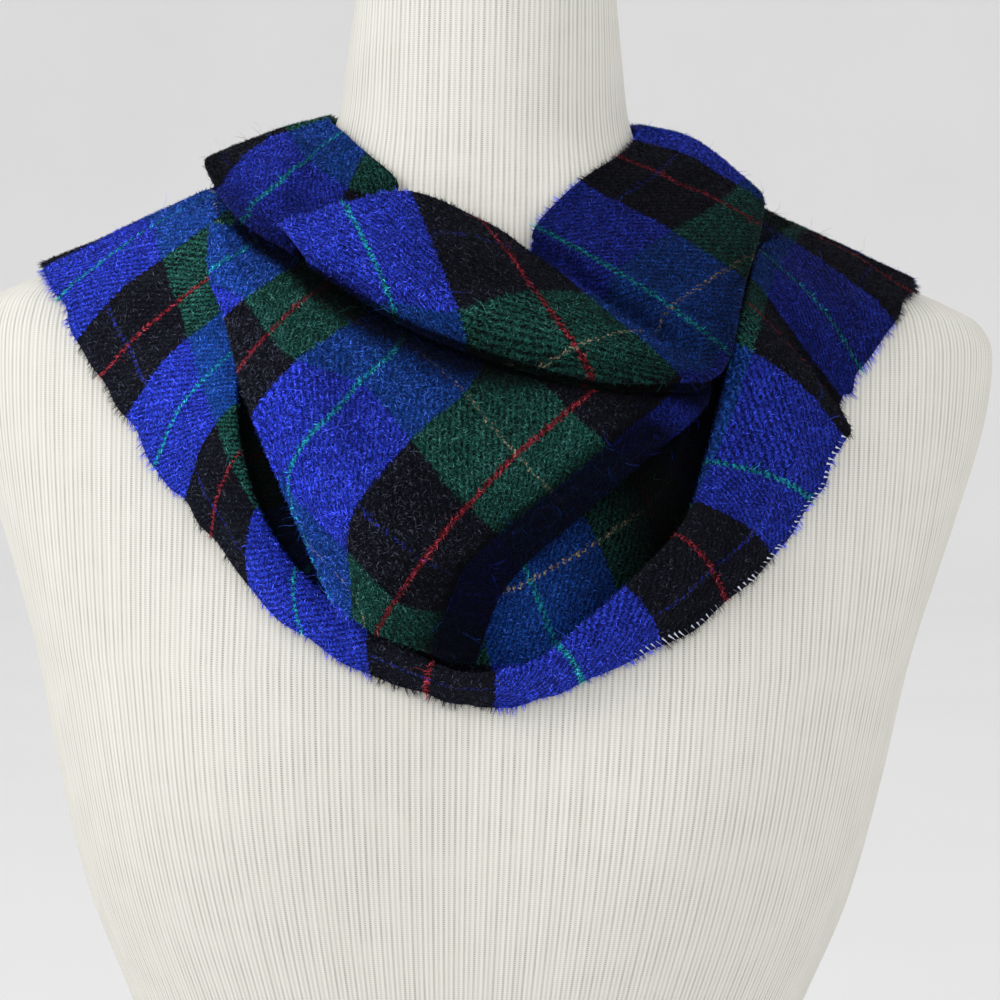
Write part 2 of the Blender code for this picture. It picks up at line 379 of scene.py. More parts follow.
def ribbed_jersey():
    """Off-white cotton jersey in a fine rib: matt, with a column of pinholes between ribs."""
    material, tree, shader = new_material(
        "off-white ribbed cotton jersey", {"Roughness": 0.92, "Specular IOR Level": 0.2}
    )
    measure = add_node(tree, "UVMap", uv_map="measure")
    parts = add_node(tree, "SeparateXYZ", {0: measure})
    pitch, course_pitch = RIB_PITCH_MM * MM, COURSE_MM * MM
    streaks = add_node(tree, "Mapping", {0: measure, 3: (400.0, 12.0, 1.0)})
    streak = add_node(tree, "TexNoise", {"Vector": streaks, "Scale": 1.0, "Detail": 2.0})
    patchy = add_node(tree, "TexNoise", {"Vector": measure, "Scale": 60.0, "Detail": 2.0})
    waves = (
        (0, pitch / 2, 0.13 * pitch, 0.30 * pitch, 0.0),
        (0, pitch, 0.3 * pitch, 0.7 * pitch, 0.6),
        (1, course_pitch / 2, 0.10 * course_pitch, 0.34 * course_pitch, 0.25),
    )
    channel, stronger, hole = (
        add_node(
            tree,
            "MapRange",
            {
                0: add_node(tree, "Math", {0: parts.outputs[way], 1: half}, operation="PINGPONG"),
                1: start,
                2: end,
                3: 1.0,
                4: low,
            },
            interpolation_type="SMOOTHSTEP",
        )
        for way, half, start, end, low in waves
    )
    hole = add_node(tree, "Math", {0: channel, 1: hole}, operation="MULTIPLY")
    hole = add_node(tree, "Math", {0: hole, 1: stronger}, operation="MULTIPLY")
    strong = add_node(tree, "MapRange", {0: patchy, 1: 0.35, 2: 0.65, 3: 0.55, 4: 0.85})
    depth = add_node(tree, "Math", {0: hole, 1: strong}, operation="MULTIPLY", use_clamp=True)
    yarn = add_node(
        tree,
        "Mix",
        {0: streak, 6: linear("#e9e7df"), 7: linear("#d9d7ce")},
        data_type="RGBA",
    ).outputs[2]
    colour = add_node(
        tree, "Mix", {0: depth, 6: yarn, 7: linear("#8b8983")}, data_type="RGBA"
    ).outputs[2]
    bump = add_node(
        tree, "Bump", {"Strength": 0.35, "Distance": 0.4 * MM, "Height": channel}, invert=True
    )
    tree.links.new(colour, shader.inputs["Base Color"])
    tree.links.new(bump.outputs[0], shader.inputs["Normal"])
    return material


def form_measure(points):
    """Millimetres round the skin from the front centre, and up it from the underside.

    Below the chest the way round is scaled to the chest's, so the ribs draw in at the waist.
    """
    steps = np.linalg.norm(np.diff(points, axis=0), axis=-1).mean(axis=1)
    up = np.concatenate([[0], np.cumsum(steps)])
    round_skin = arc_across(points)
    round_skin = round_skin - round_skin[:, [points.shape[1] // 2]]
    half_round = round_skin[:, -1:]
    at_chest = np.argmin(np.abs(points[:, 0, 2] - CHEST_HEIGHT))
    below = (np.arange(len(points)) < at_chest)[:, None]
    drawn_in = half_round[at_chest] / np.maximum(half_round, PROBE)
    round_skin = round_skin * np.where(below, drawn_in, 1)
    return np.stack([round_skin, up[:, None] + 0 * round_skin], axis=-1)


def with_flat_ends(points):
    """The grid with a ring that shrinks to the middle of the underside and of the top."""
    shares = np.array([0.0, 0.5])[:, None, None]
    low = points[0] * [1, 1, 0] * shares + points[0] * [0, 0, 1]
    high = points[-1] * [1, 1, 0] * shares[::-1] + points[-1] * [0, 0, 1]
    return np.concatenate([low, points, high])


closed_form = with_flat_ends(form_points)
cover = grid_mesh("dress_form_cover", closed_form, form_measure(closed_form), closed_across=True)
dress_form = as_object("dress_form_cover", cover, ribbed_jersey())
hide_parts("dress_form")
print("ribs round the neck:", round(2 * np.pi * 54 / RIB_PITCH_MM))

# %% [markdown]
# ## The scarf's plaid
#
# A plaid is a sett, an order of coloured threads that repeats, in two directions. Threads
# along the scarf are the warp and threads across it are the weft. Here the weft has a blue
# stretch with a teal line in its middle and a black stretch with a red line in its middle.
# The warp has a black stretch with a thin blue line and a green stretch with a beige line.
# Where they cross, the eye sees royal blue, azure, dark green or charcoal.
#
# The cloth is a twill: each thread passes over two and under two, one step further on each
# time, which draws slanting ribs. Brushing has raised a nap over it, so the ribs are clear
# in the green and nearly hidden in the blue.

# %% The plaid's sizes
REPEAT_ALONG = 118.0
REPEAT_ACROSS = 108.0
TEAL_AT, BLUE_HALF_WIDTH = 59.0, 32.0
BEIGE_AT, GREEN_HALF_WIDTH = 71.0, 27.0
WEFT_LINE_HALF, WARP_LINE_HALF = 1.05, 0.85
RIB_REPEAT = 3.1
THREAD_SHOWS = 0.45
print("ribs to the repeat:", round(REPEAT_ALONG / RIB_REPEAT))

# %% [markdown]
# The material measures how far each place is from the nearest teal line along the cloth,
# and from the nearest beige line across it. A ping-pong wave gives that distance directly.
# Comparing the two distances with the stretch widths tells which two threads cross there.
# A little noise is added to the measure first, so that the stretches meet in a furry line.

# %% The wool's colours
Crossing = namedtuple("Crossing", "raised sunken")
ROYAL = Crossing("#2c41c4", "#121c70")
AZURE = Crossing("#1d4ca6", "#0e3474")
GREEN = Crossing("#215a50", "#04090b")
CHARCOAL = Crossing("#171923", "#0c0d13")
TEAL, RED, BEIGE, THIN_BLUE = "#1c98aa", "#8e2733", "#b8a488", "#27329c"


def plaid_nodes(tree, along, across, ribs):
    """The plaid's colour at a measure, where ribs is 1 on a raised weft and 0 between."""
    from_teal, from_beige = (
        add_node(
            tree,
            "Math",
            {
                0: add_node(tree, "Math", {0: way, 1: at * MM}, operation="SUBTRACT"),
                1: repeat * MM / 2,
            },
            operation="PINGPONG",
        )
        for way, at, repeat in ((along, TEAL_AT, REPEAT_ALONG), (across, BEIGE_AT, REPEAT_ACROSS))
    )
    blue, green = (
        add_node(tree, "Math", {0: distance, 1: half_width * MM}, operation="LESS_THAN")
        for distance, half_width in ((from_teal, BLUE_HALF_WIDTH), (from_beige, GREEN_HALF_WIDTH))
    )
    royal, azure, green_check, charcoal = (
        add_node(
            tree,
            "Mix",
            {0: ribs, 6: linear(kind.sunken), 7: linear(kind.raised)},
            data_type="RGBA",
        ).outputs[2]
        for kind in (ROYAL, AZURE, GREEN, CHARCOAL)
    )
    on_black, on_blue = (
        add_node(tree, "Mix", {0: green, 6: no, 7: yes}, data_type="RGBA").outputs[2]
        for no, yes in ((charcoal, green_check), (royal, azure))
    )
    ground = add_node(tree, "Mix", {0: blue, 6: on_black, 7: on_blue}, data_type="RGBA").outputs[2]
    sunk, rise = (
        add_node(tree, "Math", {0: ribs, 1: THREAD_SHOWS}, operation=test)
        for test in ("LESS_THAN", "GREATER_THAN")
    )
    lines = (
        (from_teal, WEFT_LINE_HALF * MM, "LESS_THAN", rise, TEAL),
        (from_teal, (REPEAT_ALONG / 2 - WEFT_LINE_HALF) * MM, "GREATER_THAN", rise, RED),
        (from_beige, WARP_LINE_HALF * MM, "LESS_THAN", sunk, BEIGE),
        (from_beige, (REPEAT_ACROSS / 2 - WARP_LINE_HALF) * MM, "GREATER_THAN", sunk, THIN_BLUE),
    )
    for distance, limit, test, shown, colour in lines:
        on_line = add_node(tree, "Math", {0: distance, 1: limit}, operation=test)
        on_line = add_node(tree, "Math", {0: on_line, 1: shown}, operation="MULTIPLY")
        ground = add_node(
            tree, "Mix", {0: on_line, 6: ground, 7: linear(colour)}, data_type="RGBA"
        ).outputs[2]
    return ground


def furry_measure(tree, raggedness):
    """The measure with a fine wander of that many millimetres, split into along and across."""
    measure = add_node(tree, "UVMap", uv_map="measure")
    noise = add_node(tree, "TexNoise", {"Vector": measure, "Scale": 700.0, "Detail": 2.0})
    level = add_node(
        tree, "VectorMath", {0: noise.outputs[1], 1: (0.5, 0.5, 0.5)}, operation="SUBTRACT"
    )
    wander = add_node(
        tree,
        "VectorMath",
        {0: level, "Scale": raggedness * MM},
        operation="SCALE",
    )
    moved_measure = add_node(tree, "VectorMath", {0: measure, 1: wander}, operation="ADD")
    parts = add_node(tree, "SeparateXYZ", {0: moved_measure})
    return measure, parts.outputs[0], parts.outputs[1]


def brushed_wool():
    """Brushed 2/2 twill wool: matt, deep in colour, with a soft pale sheen from its nap, and
    painted light and shade from its 'shade' attribute.
    """
    constants = {
        "Roughness": 1.0,
        "Specular IOR Level": 0.08,
        "Sheen Weight": 0.04,
        "Sheen Roughness": 0.5,
        "Sheen Tint": linear("#b8bce8"),
    }
    material, tree, shader = new_material("brushed wool twill, plaid", constants)
    measure, along, across = furry_measure(tree, 4.2)
    step = add_node(tree, "Math", {0: along, 1: across}, operation="SUBTRACT")
    wave = add_node(tree, "Math", {0: step, 1: RIB_REPEAT * MM / 2}, operation="PINGPONG")
    ribs = add_node(
        tree,
        "MapRange",
        {0: wave, 1: 0.10 * RIB_REPEAT * MM, 2: 0.34 * RIB_REPEAT * MM, 3: 0.0, 4: 1.0},
        interpolation_type="SMOOTHSTEP",
    )
    plaid = plaid_nodes(tree, along, across, ribs)
    fibre = add_node(
        tree, "TexNoise", {"Vector": measure, "Scale": 1150.0, "Detail": 3.0, "Roughness": 0.75}
    )
    patch = add_node(tree, "TexNoise", {"Vector": measure, "Scale": 90.0, "Detail": 2.0})
    tone = add_node(tree, "MapRange", {0: fibre, 1: 0.40, 2: 0.62, 3: 0.12, 4: 1.85})
    worn = add_node(tree, "MapRange", {0: patch, 1: 0.3, 2: 0.7, 3: 0.82, 4: 1.18})
    # The 'shade' attribute is painted light and shade, multiplied into the colour.
    shade = add_node(tree, "Attribute", attribute_name="shade")
    tone = add_node(tree, "Math", {0: tone, 1: worn}, operation="MULTIPLY")
    tone = add_node(tree, "Math", {0: tone, 1: shade.outputs[2]}, operation="MULTIPLY")
    colour = add_node(tree, "VectorMath", {0: plaid, "Scale": tone}, operation="SCALE")
    rough = add_node(tree, "Math", {0: fibre, 1: 0.8, 2: ribs}, operation="MULTIPLY_ADD")
    bump = add_node(tree, "Bump", {"Strength": 0.7, "Distance": 0.45 * MM, "Height": rough})
    tree.links.new(colour.outputs[0], shader.inputs["Base Color"])
    tree.links.new(bump.outputs[0], shader.inputs["Normal"])
    return material


def wool_fibre():
    """Single wool fibres: the plaid's colour at their root times their tone, part random and part
    painted light and shade, and paler, as a painted highlight, where it is high.
    """
    material, tree, shader = new_material(
        "wool fibre, plaid", {"Roughness": 1.0, "Specular IOR Level": 0.15}
    )
    _, along, across = furry_measure(tree, 0.0)
    plaid = plaid_nodes(tree, along, across, 0.9)
    tone = add_node(tree, "Attribute", attribute_name="shade").outputs[2]
    colour = add_node(tree, "VectorMath", {0: plaid, "Scale": tone}, operation="SCALE")
    paleness = add_node(tree, "MapRange", {0: tone, 1: 1.4, 2: 4.5, 3: 0.0, 4: 0.20})
    colour = add_node(
        tree,
        "Mix",
        {0: paleness, 6: colour, 7: linear("#b4bbdc")},
        data_type="RGBA",
    ).outputs[2]
    tree.links.new(colour, shader.inputs["Base Color"])
    return material


wool = brushed_wool()
fibre_wool = wool_fibre()
print("materials:", wool.name, "and", fibre_wool.name)

# %% [markdown]
# ## The measure across a fold
#
# The rows of a table say where the cloth is, and its columns along and v_ say which thread
# of the scarf lies there. Between two lines with a known thread, the measure grows with the
# distance on the surface. Past the last one it simply follows the distance, as cloth that
# isn't stretched does.

# %% Measures on a cloth


def smooth_across(lines, steps):
    """The surface through lines that run along the cloth, given from one edge to the other."""
    return np.swapaxes(smooth_through(np.stack(lines), steps), 0, 1)


def measure_across(points, known):
    """v at each point, from a list of (column, v at that column for each row).

    Between known columns v is linear in the arc length, and outside them it follows it.
    """
    arc = arc_across(points)
    columns = np.arange(points.shape[1])[None, :]
    first, last = known[0], known[-1]
    v = first[1][:, None] + arc - arc[:, [first[0]]]
    for (a, v_a), (b, v_b) in zip(known[:-1], known[1:]):
        share = (arc - arc[:, [a]]) / (arc[:, [b]] - arc[:, [a]])
        between = v_a[:, None] + share * (v_b - v_a)[:, None]
        v = np.where((columns >= a) & (columns <= b), between, v)
    beyond = last[1][:, None] + arc - arc[:, [last[0]]]
    return np.where(columns > last[0], beyond, v)


def unit(vectors):
    """Each vector divided by its length."""
    return vectors / np.maximum(np.linalg.norm(vectors, axis=-1, keepdims=True), 1e-9)


def normals_of(points, closed=False, side=1):
    """Unit normals of a grid: the cross product of its two directions of growth.

    A grid whose first line is its lowest has them the other way round, which side -1 mends.
    """
    padded = np.concatenate([points[-2:-1], points, points[1:2]]) if closed else points
    along = np.gradient(padded, axis=0)
    along = along[1:-1] if closed else along
    return unit(side * np.cross(np.gradient(points, axis=1), along))


def soft_step(place, start, over=1):
    """0 before start, 1 past start + over, and s * s * (3 - 2 s) at the share s between."""
    s = np.clip((place - start) / over, 0, 1)
    return s * s * (3 - 2 * s)


Cloth = namedtuple("Cloth", "points measure normals shade closed")
print("measures follow the arc length of each fold")

# %% [markdown]
# ## Creases
#
# Heavy wool folds softly: a crease is a shallow trough that is deepest in the middle of its
# run and fades at both ends, often with a low ridge beside it. Each is one row of a table,
# from one place on the cloth to another, so that a crease can be moved without touching the
# fold that it lies in. A negative depth is a ridge.

# %% Press creases into a cloth
Crease = namedtuple("Crease", "row line to_row to_line depth width")
CREASE_PLACES = 48
# Painted shade: a crease paints its trough darker and its ridge lighter, by this share per
# millimetre of move.
CREASE_PAINTED_SHADE = 0.10


def blended(field, i, j, s, t):
    """A grid's value between four corners, s of the way to the next row, t to the next line."""
    low = field[i, j] * (1 - s) + field[i + 1, j] * s
    high = field[i, j + 1] * (1 - s) + field[i + 1, j + 1] * s
    return low * (1 - t) + high * t


def between_lines(points, row, line):
    """Points of a grid at fractional rows and lines, blended from the four corners near each."""
    row = np.clip(row, 0, points.shape[0] - 1.001)
    line = np.clip(line, 0, points.shape[1] - 1.001)
    i, j = row.astype(int), line.astype(int)
    return blended(points, i, j, (row - i)[:, None], (line - j)[:, None])


def pressed(points, normals, creases, row_steps, line_steps):
    """The points moved along their normals by every crease, and a painted shade from the move.

    A crease moves a point by depth * sin(pi share) ^ 0.6 * exp(-(d / width)^2), where share
    runs along the crease and d is the distance from it. The place with most effect counts.
    The painted shade is 1 + CREASE_PAINTED_SHADE * move, darker in a trough and lighter on a
    ridge.
    """
    share = np.linspace(0, 1, CREASE_PLACES)
    fade = np.sin(np.pi * np.clip(share, 0.02, 0.98)) ** 0.6
    shift = np.zeros(points.shape[:2])
    for crease in creases:
        row = (crease.row + share * (crease.to_row - crease.row)) * row_steps
        line = (crease.line + share * (crease.to_line - crease.line)) * line_steps
        path = between_lines(points, row, line)
        away = np.linalg.norm(points[:, :, None] - path, axis=-1)
        effect = (fade * np.exp(-((away / crease.width) ** 2))).max(axis=-1)
        shift -= crease.depth * effect
    return points + shift[..., None] * normals, np.clip(1 + CREASE_PAINTED_SHADE * shift, 0.3, 1.3)


print("creases are sampled at", CREASE_PLACES, "places")

# %% [markdown]
# ## The outer turn
#
# It lies on the shoulders as a band with a raw edge. At the front the band stands up like
# a shallow collar: it bulges from its edge to its rim, turns inward there, and sinks behind
# the rim into deep shadow before it climbs to the neck under the other folds. That shadow is
# also painted: the colour behind the rim is darkened as painted shade. Where it turns
# tightly the cloth passes through itself inside the fold. The likely cause is small loops in
# the curve across it, but the step that pushes it off the form could do it as well.

# %% The outer turn's table
Shoulder = namedtuple("Shoulder", "edge rim root belly roll nest along v_rim gloom bloom")
# The last two columns are painted shade and light: the first darkens the cloth behind the rim, the
# last makes each row lighter or darker, as light from the left would fall on it.
SHOULDER_WRAP = (
    Shoulder((-159, -55, 562), (-106, -15, 604), (-87, -14, 613), 3, 1, 0, 59, 69, 0.6, 1.15),
    Shoulder((-140, -74, 534), (-94, -70, 576), (-87, -59, 589), 4, 1, 0, 118, 69, 0.7, 1.25),
    Shoulder((-117, -90, 503), (-89, -91, 545), (-69, -86, 554), 6, 3, 0, 177, 64, 0.95, 1.3),
    Shoulder((-95, -101, 478), (-86, -104, 508), (-64, -97, 514), 4, 5, 0, 236, 50, 0.97, 1.25),
    Shoulder((-60, -115, 443), (-64, -112, 467), (-48, -107, 482), 4, 4, 0, 295, 38, 0.95, 1.15),
    Shoulder((-16, -116, 424), (-14, -125, 436), (-24, -106, 474), 3, 6, 0, 354, 28, 0.6, 0.95),
    Shoulder((11, -116, 420), (11, -130, 434), (-1, -106, 475), 3, 9, 2, 383, 26, 0.15, 0.95),
    Shoulder((41, -118, 430), (32, -130, 444), (10, -102, 489), 3, 11, 6, 413, 28, 0.15, 0.9),
    Shoulder((93, -106, 458), (74, -119, 483), (43, -97, 521), 5, 13, 7, 472, 38, 1.0, 0.72),
    Shoulder((124, -89, 495), (86, -110, 509), (62, -92, 532), 6, 12, 2, 531, 44, 1.0, 0.62),
    Shoulder((137, -82, 519), (97, -97, 554), (80, -81, 558), 5, 6, 0, 566, 48, 1.0, 0.58),
    Shoulder((135, -76, 530), (102, -78, 572), (84, -73, 572), 0, 3, 0, 612, 50, 1.0, 0.33),
    Shoulder((143, -70, 542), (107, -59, 585), (91, -50, 594), 5, 2, 0, 649, 50, 0.95, 0.28),
    Shoulder((165, -35, 571), (121, -16, 597), (102, -13, 606), 4, 1, 0, 708, 50, 0.8, 0.33),
    Shoulder((170, 22, 573), (122, 14, 597), (98, 10, 608), 3, 1, 0, 762, 54, 0.5, 0.6),
    Shoulder((146, 66, 552), (100, 58, 584), (76, 52, 598), 4, 1, 0, 813, 58, 0.5, 0.8),
    Shoulder((98, 90, 520), (66, 82, 571), (50, 68, 592), 5, 1, 0, 871, 62, 0.5, 0.85),
    Shoulder((40, 98, 504), (27, 96, 556), (20, 79, 589), 5, 1, 0, 927, 56, 0.5, 0.85),
    Shoulder((-20, 99, 502), (-14, 96, 555), (-10, 80, 589), 5, 1, 0, 984, 55, 0.5, 0.85),
    Shoulder((-78, 94, 514), (-52, 90, 561), (-38, 76, 591), 5, 1, 0, 1039, 56, 0.5, 0.85),
    Shoulder((-128, 74, 540), (-88, 68, 581), (-64, 60, 597), 4, 1, 0, 1095, 60, 0.5, 0.85),
    Shoulder((-160, 38, 566), (-114, 36, 595), (-90, 34, 605), 4, 1, 0, 1147, 63, 0.5, 0.95),
    Shoulder((-170, -10, 575), (-116, 0, 602), (-94, -2, 613), 3, 1, 0, 1194, 66, 0.5, 1.05),
)
SHOULDER_ROUND = 1180
RING_STEPS, ACROSS_STEPS = 24, 10
BELLY_OUT, BELLY_UP = 0.8, 0.3
GULLY_DOWN = 0.5
RIM_LINE, PAINTED_GLOOM_REACH, DEEPEST = 2, 0.9, 0.98
EDGE_WAVES = ((17, 0.8), (29, 0.7), (47, 0.5))
LINING_IN, LINING_UP = 5, 11
LINING_SHARES = (
    0.3, 0.5, 0.8, 0.8, 0.6, 0.2, 0.1, 0.1, 0.1, 0.1, 0.1, 0.1,
    0.1, 0.2, 0.4, 0.8, 1.0, 1.0, 1.0, 1.0, 0.9, 0.7, 0.4,
)


SHOULDER_CREASES = (
    Crease(0.4, 0.4, 1.6, 1.7, 2.0, 8),
    Crease(2.2, 0.3, 3.4, 1.6, 1.6, 7),
    Crease(7.4, 0.2, 8.6, 1.5, 1.6, 6),
    Crease(8.9, 0.2, 9.6, 1.8, -1.6, 6),
    Crease(12.1, 0.2, 12.6, 1.9, 2.2, 7),
    Crease(13.2, 0.2, 13.6, 1.8, 1.8, 8),
    Crease(15.2, 0.1, 15.5, 2.0, 2.8, 9),
    Crease(16.6, 0.1, 16.8, 2.0, 2.4, 9),
    Crease(18.2, 0.1, 18.0, 2.0, 2.8, 10),
    Crease(19.6, 0.1, 19.3, 2.0, 2.4, 9),
    Crease(20.9, 0.1, 20.6, 1.9, 2.2, 9),
    Crease(22.1, 0.3, 21.9, 1.8, 1.8, 8),
)


def shoulder_cloth():
    """The outer turn: lines along edge, belly, rim, gully, nest and root, and the lining.

    The lining is the stretch that runs on under the other folds, so that no gap opens there.
    """
    shape = [row[:6] for row in SHOULDER_WRAP]
    edge, rim, root, belly, roll, nest = columns_of(shape, smooth_loop, RING_STEPS)
    down_the_band = (edge - rim) / np.linalg.norm(edge - rim, axis=1, keepdims=True)
    round_ring = np.linspace(0, 2 * np.pi, len(edge))
    waver = sum(size * np.sin(count * round_ring + count) for count, size in EDGE_WAVES)
    edge = edge + waver[:, None] * down_the_band
    gully = moved(rim, -roll, 0) + GULLY_DOWN * roll[:, None] * down_the_band
    hidden = smooth_loop(LINING_SHARES, RING_STEPS)
    lining = moved(root, -LINING_IN * hidden, LINING_UP * hidden)
    lines = [
        edge,
        moved((edge + rim) / 2, BELLY_OUT * belly, BELLY_UP * belly),
        rim,
        gully,
        moved((gully + root) / 2, nest, 0),
        root,
        lining,
    ]
    points = smooth_across(lines, ACROSS_STEPS)
    normals = normals_of(points, True, -1)
    points, painted_crease_shade = pressed(points, normals, SHOULDER_CREASES, RING_STEPS, ACROSS_STEPS)
    points[-1], painted_crease_shade[-1] = points[0], painted_crease_shade[0]
    points = kept_clear(points)
    row_at = np.arange(len(points)) / RING_STEPS
    ends = [row.along for row in SHOULDER_WRAP] + [SHOULDER_WRAP[0].along + SHOULDER_ROUND]
    along = np.interp(row_at, np.arange(len(ends)), ends)
    v_rim = smooth_loop([row.v_rim for row in SHOULDER_WRAP], RING_STEPS)
    across = measure_across(points, [(0, 0 * v_rim), (RIM_LINE * ACROSS_STEPS, v_rim)])
    gloom, bloom = (
        smooth_loop([getattr(row, name) for row in SHOULDER_WRAP], RING_STEPS)[:, None]
        for name in ("gloom", "bloom")
    )
    # Painted shade: the colour behind the rim is darkened, row by row, and each row is painted
    # lighter or darker as light from the left would fall on it.
    behind_rim = soft_step(np.arange(points.shape[1]) / ACROSS_STEPS, RIM_LINE, PAINTED_GLOOM_REACH)
    shade = bloom * painted_crease_shade * (1 - np.clip(gloom, 0, DEEPEST) * behind_rim)
    measure = np.stack([along[:, None] + 0 * across, across], axis=-1)
    return Cloth(points, measure, normals_of(points, True, -1), shade, True)


shoulder = shoulder_cloth()
print("outer turn:", shoulder.points.shape[:2], "points")

# %% [markdown]
# ## The inner turn
#
# It starts at a free corner at the left of the throat, folds over to the front with its raw
# edge uppermost, climbs the right shoulder, goes round the back of the neck and comes over
# the left shoulder to end under its own start. Its threads run a little aslant at the left,
# where the cloth turns to come forward, which the columns lag and v_edge say.

# %% The inner turn's table
Neck = namedtuple("Neck", "edge brow crest tuck along brow_lag crest_lag v_edge v_crest bloom")
# The last column is painted light and shade: each row is made lighter or darker, as light from the
# left would fall on it.
NECK_WRAP = (
    Neck((-74, -79, 592), (-69, -87, 587), (-63, -95, 580), 2, 30, 0, 0, 0, 22, 1.0),
    Neck((-50, -76, 600), (-40, -98, 583), (-30, -108, 564), 4, 59, 0, 0, 0, 44, 1.0),
    Neck((-26, -74, 605), (-14, -101, 579), (-4, -116, 554), 4, 91, 0, 0, 0, 50, 0.78),
    Neck((0, -79, 595), (19, -107, 572), (40, -121, 542), 4, 118, 0, 0, 0, 80, 0.6),
    Neck((17, -80, 586), (43, -108, 565), (72, -117, 541), 4, 145, 0, 0, 0, 98, 0.42),
    Neck((19, -77, 589), (57, -104, 561), (83, -113, 542), 4, 160, 0, 0, 0, 98, 0.36),
    Neck((21, -74, 594), (56, -97, 573), (89, -105, 550), 4, 177, 0, 0, 0, 98, 0.32),
    Neck((35, -62, 609), (65, -78, 593), (95, -87, 574), 2, 206, 0, 0, 0, 78, 0.34),
    Neck((51, -44, 621), (77, -50, 611), (104, -54, 597), 2, 236, 0, 0, 0, 60, 0.4),
    Neck((63, -8, 634), (84, -10, 629), (107, -14, 611.2), 2, 287, 0, 0, 0, 52, 0.6),
    Neck((57, 33, 638), (74, 42, 631), (97, 50, 612), 2, 318, 0, 0, 13, 66, 0.7),
    Neck((33, 57, 640), (42, 73, 631), (53, 92, 604), 4, 350, 0, -4, 27, 82, 0.85),
    Neck((0, 66, 641), (0, 84, 632), (0, 106, 603), 4, 384, 0, -6, 40, 95, 0.9),
    Neck((-33, 57, 640), (-42, 73, 631), (-53, 92, 605), 4, 418, 0, -8, 53, 108, 0.9),
    Neck((-57, 33, 638), (-73, 42, 631), (-93, 52, 611), 4, 453, 0, -12, 67, 120, 0.9),
    Neck((-61, 4, 637), (-85, 4, 630), (-108, 2, 620), 3, 491, -2, -20, 80, 130, 0.8),
    Neck((-53, -34, 629), (-74, -38, 617), (-99, -41, 607), 2, 531, -4, -32, 80, 132, 0.7),
    Neck((-42, -52, 619), (-64, -58, 603), (-91, -63, 598), 2, 565, -16, -42, 82, 138, 0.6),
    Neck((-31, -63, 609), (-54, -67, 595), (-80, -75, 590), 2, 581, -15, -42, 85, 140, 0.5),
    Neck((-34, -66, 603), (-50, -71, 591), (-67, -81, 583), 2, 590, -15, -40, 85, 127, 0.4),
)
TURN_IN, TURN_DOWN, TUCK_DOWN = 0.8, 0.5, 1.6
NECK_STEPS, NECK_ACROSS = 20, 14


NECK_CREASES = (
    Crease(4.6, -0.6, 5.5, 1.8, 5.0, 5),
    Crease(5.6, 0.2, 5.9, 1.8, -1.4, 7),
    Crease(0.9, 1.1, 3.9, 1.0, 1.5, 6),
    Crease(0.7, 1.75, 4.1, 1.65, -2.2, 6),
    Crease(7.2, 0.4, 8.8, 1.5, 1.4, 6),
    Crease(10.3, 1.3, 13.2, 0.8, 2.2, 6),
    Crease(11.6, 1.7, 14.8, 1.2, 2.0, 6),
    Crease(15.2, 0.5, 17.8, 1.4, 2.0, 6),
    Crease(15.6, 1.2, 17.6, 1.75, -1.8, 6),
)
ROLL_FROM, ROLL_OVER, CREST_LINE = 1.45, 0.6, 2
ROLL_PAINTED_SHADE, HEM_PAINTED_SHADE = 0.45, 0.9


def neck_cloth():
    """The inner turn: lines along the neck edge, the brow, the crest and its turned hem."""
    shape = [row[:4] for row in NECK_WRAP]
    edge, brow, crest, tuck = columns_of(shape, smooth_through, NECK_STEPS)
    lines = [
        edge,
        brow,
        crest,
        moved(crest, -TURN_IN * tuck, -TURN_DOWN * tuck),
        moved(crest, -tuck, -TUCK_DOWN * tuck),
    ]
    points = smooth_across(lines, NECK_ACROSS)
    normals = normals_of(points)
    points, painted_crease_shade = pressed(points, normals, NECK_CREASES, NECK_STEPS, NECK_ACROSS)
    points = kept_clear(points)
    threads = [row[4:] for row in NECK_WRAP]
    along, brow_lag, crest_lag, v_edge, v_crest, bloom = columns_of(
        threads, smooth_through, NECK_STEPS
    )
    across = measure_across(points, [(0, v_edge), (CREST_LINE * NECK_ACROSS, v_crest)])
    columns = np.arange(points.shape[1]) / NECK_ACROSS
    lag = np.stack([0 * brow_lag, brow_lag, crest_lag, crest_lag, crest_lag], axis=1)
    place = np.clip(columns, 0, 4)
    low = np.minimum(place.astype(int), 3)
    slant = lag[:, low] * (1 - (place - low)) + lag[:, low + 1] * (place - low)
    measure = np.stack([along[:, None] + slant, across], axis=-1)
    # Painted shade: the colour darkens where the cloth rolls under towards its crest and on the
    # hem below it, on top of the rows' painted light and the creases' painted shade.
    toward_roll = soft_step(columns[None, :], ROLL_FROM, ROLL_OVER)
    under = soft_step(columns[None, :], CREST_LINE)
    shade = bloom[:, None] * painted_crease_shade * (1 - ROLL_PAINTED_SHADE * toward_roll) * (1 - HEM_PAINTED_SHADE * under)
    return Cloth(points, measure, normals_of(points), shade, False)


neck = neck_cloth()
print("inner turn:", neck.points.shape[:2], "points")

# %% [markdown]
# ## The wide front fold
#
# Between the two turns the cloth hangs in one broad, round fold from the left shoulder to
# the bottom of the opening, and its lower side goes round and inward. Above its brim a strip
# runs on behind the inner turn, set far enough in to pass it, so that no gap opens there.

